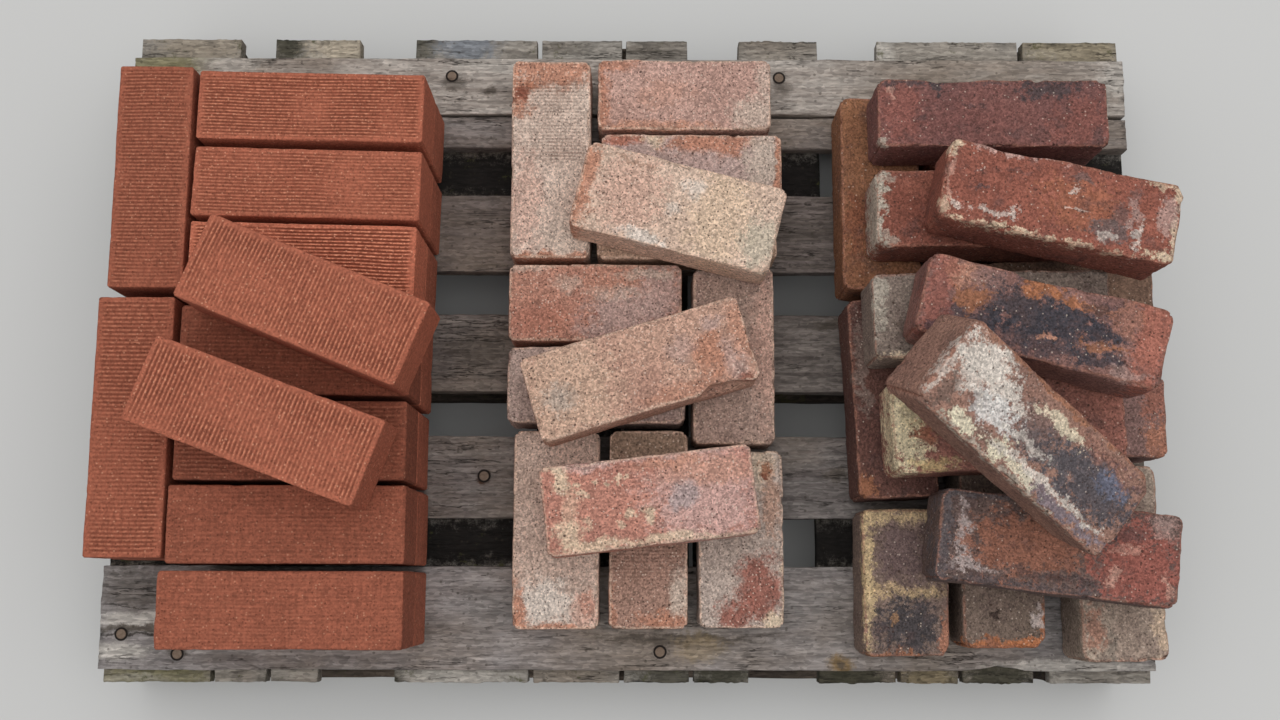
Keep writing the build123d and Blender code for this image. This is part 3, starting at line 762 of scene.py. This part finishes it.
RIGHT = {
    "right_lower_brick_1": ((138, 96, 70), (126, 86, 64), ((RUST, -40, 30, 40, 10, 0.4),)),
    "right_lower_brick_2": ((100, 70, 62), (90, 62, 56), (
        ((120, 104, 96), 42, 34, 48, 8, 0.7), ((120, 104, 96), 0, 32, 18, 10, 0.6),
        (BROWN, -100, 36, 14, 12, 0.8),
    )),
    "right_lower_brick_3": ((122, 104, 94), (112, 94, 86), (
        (STRAW, 10, 42, 76, 9, 0.9), (STRAW, 72, 0, 13, 52, 0.8), ((186, 160, 122), -10, 0, 8, 48, 0.7),
        (SOOT, -48, -2, 31, 34), ((104, 86, 84), 36, 2, 34, 27, 0.9), (ORANGE, -66, -44, 36, 8, 0.8),
        (BROWN, -79, 20, 7, 46, 0.9), ((172, 130, 92), -40, 14, 8, 4, 0.5),
    )),
    "right_lower_brick_4": ((126, 100, 84), (114, 90, 76), ()),
    "right_lower_brick_5": ((130, 102, 96), (118, 92, 86), (
        (ORANGE, 118, -32, 18, 30, 0.8), (RED, 112, 20, 14, 24, 0.6),
    )),
    "right_lower_brick_6": ((114, 98, 88), (104, 90, 80), (
        (TAN, -98, 0, 10, 60), (TAN, -80, -44, 26, 6, 0.8), ((172, 158, 152), -64, -35, 13, 6, 0.9),
        ((54, 44, 38), -60, 12, 5, 5),
    )),
    "right_lower_brick_7": ((156, 140, 126), (144, 126, 114), (
        ((156, 104, 84), -72, 30, 22, 12, 0.6), ((122, 112, 102), -90, 15, 18, 9, 0.7),
        (BUFF, -80, -40, 30, 10, 0.6),
    )),
    "right_upper_brick_1": ((124, 84, 78), (110, 76, 72), (
        ((108, 70, 66), -45, -6, 72, 24, 0.4), ((142, 86, 74), -102, 0, 24, 40, 0.4),
        ((142, 86, 74), 96, -10, 34, 30, 0.4), (SOOT, 62, 27, 32, 9, 0.85), (SOOT, -57, 27, 7, 7, 0.9),
        (SOOT, -95, 37, 28, 6, 0.8), (SOOT, 40, 37, 76, 4, 0.6), (SOOT, -20, 10, 10, 4, 0.5),
        (SOOT, -80, -2, 8, 4, 0.5), (SOOT, 20, -22, 12, 4, 0.4), (SOOT, 80, 2, 6, 8, 0.4),
        (PINK, -107, 26, 3, 9, 0.6), (LIME, -122, -35, 9, 6, 0.7), (SOOT, 114, -26, 8, 14, 0.5),
    )),
    "right_upper_brick_2": ((134, 84, 70), (122, 74, 62), (
        (LIME, -124, 0, 10, 60, 0.9), (LIME, -112, 32, 10, 6, 0.5), (LIME, -110, -34, 8, 6, 0.5),
    )),
    "right_upper_brick_3": ((134, 120, 110), (122, 108, 100), (
        (LIME, -120, 20, 9, 34, 0.7), (CREAM, -92, -45, 30, 5, 0.9),
        ((96, 78, 66), -84, -12, 16, 10, 0.5),
    )),
    "right_upper_brick_4": ((146, 98, 86), (132, 90, 80), (
        ((206, 192, 160), -108, 0, 24, 60), ((188, 172, 138), -92, 22, 22, 30, 0.9),
        ((134, 74, 58), -92, -8, 13, 11, 0.9), ((190, 168, 122), -80, -42, 26, 8, 0.7),
    )),
    "right_upper_brick_5": ((104, 86, 80), (92, 76, 72), (
        (LEAD, -119, 0, 8, 60, 0.9), (LEAD, -66, 46, 60, 6, 0.9), ((86, 76, 76), -30, -44, 94, 6, 0.9),
        (BLOOM, -102, 2, 6, 32, 0.9), (BLOOM, -98, -28, 8, 10, 0.9),
        ((168, 154, 150), -86, -31, 26, 4, 0.8), ((142, 96, 78), -30, -2, 66, 32, 0.95),
        ((142, 86, 76), 84, -8, 48, 46, 1.0), (PINK, 56, -24, 6, 10, 0.7), (LILAC, 106, 34, 16, 12, 0.6),
        (SOOT, 58, 14, 5, 4), (SOOT, -8, -32, 30, 4, 0.7), (SOOT, -40, -26, 10, 3, 0.6),
        (SOOT, 30, -33, 10, 4, 0.6), (SOOT, 76, 20, 14, 8, 0.5), (PINK, 112, -28, 4, 12, 0.6),
        (PINK, 70, 6, 20, 3, 0.4),
    )),
    "right_loose_brick_1": ((140, 86, 72), (128, 78, 66), (
        ((152, 98, 72), 20, 0, 40, 26, 0.5), (ROSE, -75, 46, 38, 8), (ROSE, -25, 45, 22, 5, 0.8),
        (CREAM, -116, 35, 10, 9, 0.9), (ASH, 54, -20, 24, 12, 0.9), (ASH, 62, -4, 12, 12, 0.6),
        (ASH, 16, 29, 9, 8, 0.7), (ASH, 76, 20, 6, 14, 0.5), (SOOT, -82, -8, 4, 4, 0.7),
        (SOOT, -90, 14, 5, 3, 0.5), (SOOT, -48, 20, 10, 3, 0.4), (WHITE, -102, -24, 8, 5, 0.6),
        (WHITE, -66, -27, 20, 4, 0.6), (WHITE, -44, -22, 3, 7, 0.6), (CREAM, -60, -41, 46, 3, 0.8),
        (CREAM, 20, -43, 60, 3, 0.6), (WHITE, 82, -22, 4, 16, 0.6), (WHITE, 52, -28, 7, 6, 0.5),
        (CREAM, 110, -34, 16, 7, 0.9), (CREAM, 119, 30, 5, 20, 0.8), (CREAM, 119, -15, 4, 20, 0.8),
        (LILAC, 110, 8, 10, 26, 0.7), (LILAC, 76, 4, 6, 14, 0.5), (CREAM, -118, -30, 6, 10, 0.6),
        (PINK, -116, 0, 3, 34, 0.5), (CREAM, 100, 40, 14, 4, 0.6), (WHITE, 14, 12, 5, 2, 0.6),
        (WHITE, 16, -6, 14, 1.5, 0.5),
    )),
    "right_loose_brick_2": ((132, 98, 90), (122, 90, 84), (
        (SOFT_ORANGE, -87, 26, 22, 16, 0.7), ((130, 102, 96), -62, 26, 20, 12, 0.7),
        ((66, 62, 66), -12, 6, 50, 28, 0.95), (COAL, 20, 2, 34, 22, 0.9), (COAL, -70, -16, 34, 14, 0.8),
        (COAL, 0, -22, 70, 14, 0.7), (BROWN, -74, 6, 16, 14, 0.9), ((160, 104, 72), -8, 31, 18, 8, 0.9),
        ((160, 104, 72), 40, 26, 34, 6, 0.8), (COAL, 62, 2, 22, 10, 1.0), (COAL, 60, 26, 22, 8, 0.7),
        (BROWN, 62, -12, 26, 3, 0.8), (COAL, 62, -26, 24, 7, 0.8), ((158, 98, 82), 110, 6, 18, 60, 0.8),
        ((142, 84, 72), -110, 0, 14, 60, 0.6), (ORANGE, 84, 22, 16, 14, 0.6),
        (COAL, -108, -36, 8, 8, 0.7), ((128, 94, 86), 84, 18, 14, 14, 0.5), (LILAC, 92, -34, 18, 6, 0.6),
        (SOFT_ORANGE, 6, -14, 9, 4, 0.9),
    )),
    "right_leaning_brick": ((148, 114, 100), (136, 104, 92), (
        ((120, 98, 92), -10, 4, 60, 26, 0.9), ((82, 78, 82), 70, 2, 62, 29, 1.0),
        ((88, 82, 84), -5, -6, 40, 12, 0.7), ((104, 108, 126), 94, 14, 20, 12, 0.7),
        ((112, 110, 122), 60, -36, 66, 6, 0.7), ((130, 88, 76), 60, 30, 50, 8, 0.5),
        (WHITE, -92, 22, 36, 20), (WHITE, -62, 10, 28, 14, 0.9),
        ((206, 202, 198), -60, -8, 30, 12, 0.85), (WHITE, -96, 0, 20, 14, 0.8),
        (UMBER, -112, -22, 10, 16, 0.8), (UMBER, -60, -34, 50, 8, 0.6), (IVORY, -80, -36, 18, 9),
        (IVORY, -32, -30, 13, 13), (IVORY, 6, -36, 22, 6, 0.8), ((206, 192, 168), 10, 26, 30, 7, 0.9),
        (WHITE, 30, -27, 80, 5, 0.8), (WHITE, -10, -8, 30, 5, 0.6), (LIME, -20, -47, 120, 3, 0.7),
        (BROWN, 0, 47, 130, 4, 0.7), (WHITE, -128, 0, 4, 40, 0.6),
    )),
}

# Comb marks on old bricks, and gaps broken out of top arrises, as in the CAD: middle along
# the length, side, run, and how far in and down, in millimetres
OLD_COMBS = {
    "middle_brick_1": Comb(ALONG, 4.1, 1.3, -5, 94),
    "middle_brick_9": Comb(ALONG, 4.1, 0.5, -58, 20),
}
BITES = {
    "right_upper_brick_1": ((-38, 1, 92, 7, 34),),
    "middle_loose_brick_2": ((84, -1, 70, 10, 30),),
    "right_loose_brick_1": ((-48, 1, 96, 8, 12),),
    "right_loose_brick_2": ((-6, 1, 84, 8, 26),),
}
# A patch that runs over the full width also colours the end face below it
FULL_WIDTH_MM = 60
PATCH_DEPTH = 0.016
END_PATCH_DEPTH = 0.08


def old_brick(node, style, look, seed, entry, rim):
    """A speckled or reclaimed brick with its own colours."""
    first, second, patches = entry
    half_height = lie_of(loose_solids(node)[0])[1][2] / 2
    placed = []
    for tint, x, y, reach_x, reach_y, *rest in patches:
        strength = (rest[0] if rest else 1.0) * look["patch"]
        deep = END_PATCH_DEPTH if reach_y >= FULL_WIDTH_MM else PATCH_DEPTH
        reach = (reach_x * MM, reach_y * MM, deep)
        placed.append((tint, (x * MM, y * MM, half_height), reach, strength))
    clay = clay_material("clay_" + node, seed, look, first, second, placed, rim)
    brick_piece(node, style, seed, clay, OLD_COMBS.get(node), BITES.get(node, ()))


BRICK_SEED = 11
BRICK_SEED_STEP = 13
CLAY_SHIFT = 0.31
LEFT_HIDDEN_SEED = 901
RIGHT_HIDDEN_SEED = 951


def build_bricks():
    seed = BRICK_SEED
    for node in sorted(frame["nodes"]):
        if node in LEFT:
            comb, lightness_and_shade = LEFT[node]
            woven = LESS_WOVEN if comb.depth > CLEAR_COMB else WOVEN
            clay = combed_material("clay_" + node, seed * CLAY_SHIFT, woven, lightness_and_shade)
            brick_piece(node, COMBED, seed, clay, comb)
        elif node in MIDDLE:
            old_brick(node, SPECKLED, SPECKLED_LOOK, seed, MIDDLE[node], MIDDLE_RIM)
        elif node in RIGHT:
            old_brick(node, RECLAIMED, RECLAIMED_LOOK, seed, RIGHT[node], RIGHT_RIM)
        seed += BRICK_SEED_STEP
    plain = combed_material("clay_left_lower", 1.0, WOVEN)
    brick_group("left_lower_bricks", COMBED, LEFT_HIDDEN_SEED, plain)
    tones = ((120, 68, 54), (104, 62, 50))
    dull = clay_material("clay_hidden", 5.0, RECLAIMED_LOOK, *tones, (), RIGHT_RIM)
    brick_group("right_lower_hidden_bricks", RECLAIMED, RIGHT_HIDDEN_SEED, dull)


# Boards

BOARD_RIM = 0.0022
BOARD_CORNER = 0.0025
BOARD_STEPS = (0.010, 0.0028, 0.005)
CROSS_COARSE = 1.4
BASE_COARSE = 2.5
RAISED_GRAIN = 0.0009
CRACK_DEPTH = 0.0012

# Random fields over a board: cell size along, across and up, seed step, and share
STREAKS = (((0.25, 0.006, 0.006), 0, 0.6), ((0.5, 0.015, 0.015), 1, 0.4))
CRACK_CELL = (0.16, 0.004, 1.0)
RIM_CELL = (0.08, 0.02, 0.02)

# How ragged a board's ends and its long edges are: the axis that they lie on, how far in
# the wear fades, its depth, and its random fields
RAGGED = (
    (0, 0.004, 0.0040, (((1.0, 0.004, 0.012), 2, 0.5), ((1.0, 0.018, 0.03), 5, 0.5))),
    (1, 0.003, 0.0022, (((0.06, 1.0, 0.01), 3, 0.5), ((0.014, 1.0, 0.01), 7, 0.5))),
)

# Nail heads on the deck: place along and across the pallet
NAILS = {
    "deck_board_1": ((-0.2144, 0.3310), (0.1806, 0.3300)),
    "deck_board_5": ((-0.1660, -0.1516),),
    "deck_board_6": ((-0.5727, -0.3313), (-0.5083, -0.3533), (0.0368, -0.3499)),
}
NAIL_RADIUS = 0.0058
NAIL_SIDES = 16
NAIL_SINK = 0.0016
NAIL_SKIN = 0.004
NAIL_DISH = (0.007, 0.012)

# Rings of a nail head: part of its radius, height against the board's top, and how much
# of it is iron, where 0.5 is the dark gap about the head
NAIL_RINGS = (
    (1.45, -0.0006, 0.0), (1.25, -0.0003, 0.45), (1.02, -0.0003, 0.5), (0.98, -0.0001, 0.6),
    (0.85, 0.0002, 1.0), (0.5, 0.0004, 1.0), (0.02, 0.0004, 1.0),
)

# A stretch of the last deck board's near edge that has splintered away, as in the CAD, and
# the stretch with smaller splinters
SPLINTER_MIDDLE = 0.418
SPLINTER_LENGTH = 0.092
SPLINTER_DEPTH = 0.007
SMALL_SPLINTERS = (0.34, 0.60)
SMALL_SPLINTER_DEPTH = 0.0050
SPLINTER_SEED = 77
SPLINTERS = (((0.020, 1.0, 0.008), 0, 0.6), ((0.007, 1.0, 0.006), 1, 0.4))


def nail_heads(places, top):
    """Slightly domed round heads with a dark ring about each, as a shape of its own."""
    points, quads, iron = [], [], []
    for x, y in places:
        start = len(points)
        for radius, rise, metal in NAIL_RINGS:
            reach = NAIL_RADIUS * radius
            for side in range(NAIL_SIDES):
                angle = 2 * math.pi * side / NAIL_SIDES
                points.append((x + reach * math.cos(angle), y + reach * math.sin(angle), top + rise))
                iron.append(metal)
        for ring in range(len(NAIL_RINGS) - 1):
            for side in range(NAIL_SIDES):
                a = start + ring * NAIL_SIDES + side
                b = start + ring * NAIL_SIDES + (side + 1) % NAIL_SIDES
                quads.append((a, b, b + NAIL_SIDES, a + NAIL_SIDES))
    return np.array(points), quads, {"iron": np.array(iron)}


def board_shape(size, seed, coarse):
    """Points and quads of a sawn board about its own middle, with raised grain."""
    half = size / 2
    lines = [ticks(reach, BOARD_RIM, step * coarse, 2) for reach, step in zip(half, BOARD_STEPS)]
    points, quads = block_grid(*lines)
    radius = BOARD_RIM * (1 + 0.5 * field(points, RIM_CELL, seed + 6))
    shaped, normal = rounded(points, half, radius, BOARD_CORNER)
    dent = RAISED_GRAIN * (0.5 - 0.5 * layers(points, seed, STREAKS))
    open_grain = smooth(0.45, 0.8, field(points, CRACK_CELL, seed + 4))
    dent += CRACK_DEPTH * open_grain * (normal[:, 2] > 0.5)
    for axis, fade, depth, waves in RAGGED:
        place = shaped[:, axis]
        near_edge = smooth(half[axis] - fade, half[axis], np.abs(place))
        worn = depth * (0.5 - 0.5 * layers(points, seed, waves))
        shaped[:, axis] -= np.sign(place) * near_edge * worn
    return shaped - normal * dent[:, None], quads, {"iron": np.zeros(len(points))}


def splintered(points, low_y):
    """The near edge of the last deck board, with a torn stretch and loose splinters."""
    x = points[:, 0]
    along = np.array([-0.5, -0.25, 0.0, 1 / 3, 0.5]) * SPLINTER_LENGTH
    profile = np.array([0, 0.5, 1, 1 / 3, 0]) * SPLINTER_DEPTH
    depth = np.interp(x - SPLINTER_MIDDLE, along, profile)
    start, end = SMALL_SPLINTERS
    rough = smooth(start, start + 0.06, x) * smooth(-end, -end + 0.03, -x)
    for cell, step, share in SPLINTERS:
        tooth = np.maximum(0, field(points, cell, SPLINTER_SEED + step))
        depth = depth + rough * SMALL_SPLINTER_DEPTH * share * tooth
    points[:, 1] = np.maximum(points[:, 1], low_y + depth)
    return points


def nailed(shape, node, top):
    """A board's shape with its nails: the wood dips about each head."""
    points, quads, values = shape
    for x, y in NAILS[node]:
        away = np.hypot(points[:, 0] - x, points[:, 1] - y)
        dip = (points[:, 2] > top - NAIL_SKIN) * (1 - smooth(*NAIL_DISH, away))
        points[:, 2] -= dip * NAIL_SINK
    still = Matrix.Identity(4)
    return joined([(still, points, quads, values), (still, *nail_heads(NAILS[node], top))])


def board_piece(node, seed, material, coarse=1.0):
    """The boards of a CAD node, joined as one piece with its grain along each board."""
    shapes = []
    for number, solid in enumerate(loose_solids(node)):
        matrix, size = lie_of(solid)
        shapes.append((matrix, *board_shape(size, seed + number * 7, coarse)))
    shape = joined(shapes)
    if node in NAILS:
        shape = nailed(shape, node, float(solid[..., 2].max()))
    if node == "deck_board_6":
        shape = (splintered(shape[0], float(solid[..., 1].min())), *shape[1:])
    make_object("sawn_" + node, node, shape, material)


# Pale and dark tone of each kind of board
DECK_TONES = {
    "deck_board_1": ((180, 172, 164), (140, 130, 122)),
    "deck_board_2": ((142, 134, 130), (110, 100, 94)),
    "deck_board_3": ((126, 116, 112), (90, 82, 76)),
    "deck_board_4": ((126, 118, 112), (90, 82, 78)),
    "deck_board_5": ((132, 126, 122), (96, 88, 86)),
    "deck_board_6": ((158, 152, 150), (118, 112, 110)),
}
CROSS_TONES = ((160, 154, 146), (116, 110, 102))
BASE_TONES = ((80, 70, 62), (52, 46, 42))
CROSS_MOSS = 0.3
BASE_MOSS = 0.4
CLEAR_FIGURE = 0.5
FAINT_FIGURE = 0.3

MOSS = (112, 108, 66)
DARK_WOOD = (84, 76, 68)
PALE_WOOD = (186, 180, 172)
# Near-black painted shade for the boards seen down through the deck's gaps
GAP_SHADE_BLACK = (30, 27, 25)
BLUE_GREY = (122, 126, 132)
OLIVE = (118, 104, 74)
GREEN_BLACK = (58, 56, 44)

# Patches on boards: colour, place along and across the pallet and reach in millimetres,
# and how strong each is
WOOD_PATCHES = {
    "edge_boards_far": (
        (GREEN_BLACK, -420, 388, 22, 40, 0.9), ((172, 160, 142), -345, 388, 50, 40, 0.9),
        (GREEN_BLACK, -255, 388, 22, 40, 0.7), (BLUE_GREY, -200, 388, 34, 40, 0.9),
        (PALE_WOOD, 312, 388, 14, 40, 0.9), ((160, 152, 142), 400, 388, 80, 40, 0.6),
    ),
    "cross_board_left": (
        ((150, 138, 122), -520, 388, 60, 40, 0.7), (MOSS, -540, -388, 70, 40, 0.6),
        (PALE_WOOD, -560, -382, 40, 5, 0.3),
    ),
    "cross_board_centre_2": ((DARK_WOOD, 40, 388, 40, 40, 0.5), (GREEN_BLACK, 50, -388, 40, 40, 0.8)),
    "cross_board_right": (((146, 134, 110), 545, 388, 70, 40, 0.7),),
    "edge_boards_near": (
        (PALE_WOOD, -200, -388, 60, 40, 0.5), (GREEN_BLACK, -285, -388, 24, 40, 0.9),
        (GREEN_BLACK, 230, -388, 30, 40, 0.8), (GREEN_BLACK, 263, -388, 40, 40, 0.9),
        (OLIVE, 345, -388, 34, 40, 0.7), (GREEN_BLACK, 424, -388, 46, 40, 0.9),
        (GREEN_BLACK, 107, -388, 36, 40, 0.9),
    ),
    "deck_board_1": (
        (MOSS, -570, 345, 60, 16, 0.7), (PALE_WOOD, -480, 345, 40, 10, 0.6),
        (DARK_WOOD, -212, 322, 14, 10, 0.7), (DARK_WOOD, -168, 312, 6, 5, 0.8),
        (PALE_WOOD, -150, 345, 60, 12, 0.5), (DARK_WOOD, 184, 318, 10, 12, 0.6),
        (PALE_WOOD, 590, 330, 20, 20, 0.6),
    ),
    "deck_board_5": (((70, 48, 34), -166, -152, 7, 7, 1.0), (DARK_WOOD, 240, -150, 14, 6, 0.8)),
    "deck_board_4": ((DARK_WOOD, -178, -6, 34, 20, 0.6), (DARK_WOOD, 236, 26, 20, 6, 0.8)),
    "deck_board_6": (
        ((50, 44, 40), -555, -332, 50, 1.6, 0.9), (DARK_WOOD, -560, -280, 40, 24, 0.6),
        (PALE_WOOD, -560, -318, 44, 10, 0.8), (DARK_WOOD, -540, -326, 70, 4, 0.9),
        (PALE_WOOD, -575, -350, 36, 10, 0.8), (DARK_WOOD, -508, -350, 14, 6, 0.7),
        ((126, 104, 74), 242, -362, 14, 9, 1.0), (DARK_WOOD, 242, -362, 5, 4, 0.8),
        (DARK_WOOD, 60, -335, 90, 5, 0.8), ((150, 130, 98), 80, -345, 26, 14, 0.5),
        (DARK_WOOD, 30, -322, 60, 3, 0.8), (PALE_WOOD, 500, -366, 90, 8, 0.7),
        ((120, 118, 116), 0, -300, 200, 20, 0.5),
    ),
}
WOOD_PATCH_DEPTH = 0.04

# What is seen down through the deck's gaps is painted black: painted shade on the boards below, where
# little light gets in
GAPS = ((212, 34), (64, 30), (-80, 30), (-227, 32))
PAINTED_SHADE_UNDER_GAPS = tuple((GAP_SHADE_BLACK, 0, y, 4000, reach, 1.0) for y, reach in GAPS)

WOOD_SEED = 401
WOOD_SEED_STEP = 17
WOOD_SHIFT = 0.37


def wood_marks(node, extra=()):
    """The patches of a board's node, placed on its top."""
    top = max(float(solid[..., 2].max()) for solid in loose_solids(node))
    placed = []
    for tint, x, y, reach_x, reach_y, strength in WOOD_PATCHES.get(node, ()) + extra:
        reach = (reach_x * MM, reach_y * MM, WOOD_PATCH_DEPTH)
        placed.append((tint, (x * MM, y * MM, top), reach, strength))
    return placed


def build_boards():
    seed = WOOD_SEED
    for node in sorted(frame["nodes"]):
        slot = SLOT_OF[node]
        name, shift = "wood_" + node, seed * WOOD_SHIFT
        if slot == "deck_wood":
            figure = CLEAR_FIGURE if node == "deck_board_6" else FAINT_FIGURE
            marks = wood_marks(node)
            wood = wood_material(name, shift, *DECK_TONES[node], patches=marks, figure=figure)
            board_piece(node, seed, wood)
        elif slot == "cross_wood":
            # Cross boards also get the painted shade under the deck's gaps
            marks = wood_marks(node, PAINTED_SHADE_UNDER_GAPS)
            wood = wood_material(name, shift, *CROSS_TONES, CROSS_MOSS, marks)
            board_piece(node, seed, wood, CROSS_COARSE)
        elif slot == "base_wood":
            wood = wood_material(name, shift, *BASE_TONES, BASE_MOSS)
            board_piece(node, seed, wood, BASE_COARSE)
        seed += WOOD_SEED_STEP


# Floor, lights and camera

# The floor and the sky look pale to the camera, but light the object as a studio with a
# dark floor and a bright ceiling would
FLOOR_SIZE = 12.0
FLOOR_CAMERA = (0.66, 0.66, 0.65, 1.0)
FLOOR_BOUNCE = (0.03, 0.03, 0.03, 1.0)
SKY_LOW = 0.10
SKY_HIGH = 1.05
SKY_CAMERA = 0.56
LAMP_PLACE = (0.3, 0.4, 3.2)
LAMP_SIZE = 3.0
LAMP_POWER = 24.0
SENSOR_WIDTH_MM = 36.0


def build_floor():
    mesh = bpy.data.meshes.new("floor")
    half = FLOOR_SIZE / 2
    corners = [(-half, -half, 0), (half, -half, 0), (half, half, 0), (-half, half, 0)]
    mesh.from_pydata(corners, [], [(0, 1, 2, 3)])
    floor = bpy.data.objects.new("floor", mesh)
    bpy.context.scene.collection.objects.link(floor)
    shader = Shader("floor")
    path = shader.add("ShaderNodeLightPath", {}).outputs
    seen = shader.math("MAXIMUM", path["Is Camera Ray"], path["Is Glossy Ray"])
    colour = shader.mix(seen, FLOOR_BOUNCE, FLOOR_CAMERA)
    shader.fill(shader.bsdf, Base_Color=colour, Roughness=1.0, Specular_IOR_Level=0.0)
    mesh.materials.append(shader.material)


def build_light():
    """A soft sky that is brightest overhead, and a broad lamp."""
    world = bpy.data.worlds.new("studio")
    bpy.context.scene.world = world
    world.use_nodes = True
    sky = Nodes(world.node_tree)
    direction = sky.add("ShaderNodeTexCoord", {}).outputs["Generated"]
    up = sky.add("ShaderNodeSeparateXYZ", {}, direction).outputs["Z"]
    height = sky.add("ShaderNodeMapRange", {}, Value=up, To_Min=SKY_LOW, To_Max=SKY_HIGH)
    camera_ray = sky.add("ShaderNodeLightPath", {}).outputs["Is Camera Ray"]
    strength = sky.add("ShaderNodeMix", {}, Factor=camera_ray, A=height.outputs["Result"], B=SKY_CAMERA)
    white = (1.0, 1.0, 1.0, 1.0)
    sky.fill(sky.tree.nodes["Background"], Color=white, Strength=strength.outputs["Result"])
    lamp = bpy.data.lights.new("overhead", "AREA")
    lamp.shape = "SQUARE"
    lamp.size = LAMP_SIZE
    lamp.energy = LAMP_POWER
    holder = bpy.data.objects.new("overhead", lamp)
    holder.location = LAMP_PLACE
    bpy.context.scene.collection.objects.link(holder)


def build_camera():
    camera = bpy.data.cameras.new("camera")
    camera.lens = CAMERA_LENS_MM
    camera.sensor_width = SENSOR_WIDTH_MM
    camera.sensor_fit = "HORIZONTAL"
    holder = bpy.data.objects.new("camera", camera)
    turn = Matrix.Rotation(CAMERA_YAW, 4, "Z") @ Matrix.Rotation(CAMERA_PITCH, 4, "X")
    turn = turn @ Matrix.Rotation(CAMERA_ROLL, 4, "Z")
    holder.matrix_world = Matrix.Translation(CAMERA_PLACE) @ turn
    bpy.context.scene.collection.objects.link(holder)
    bpy.context.scene.camera = holder


build_bricks()
build_boards()
build_floor()
build_light()
build_camera()

bpy.context.scene.view_settings.view_transform = "Standard"
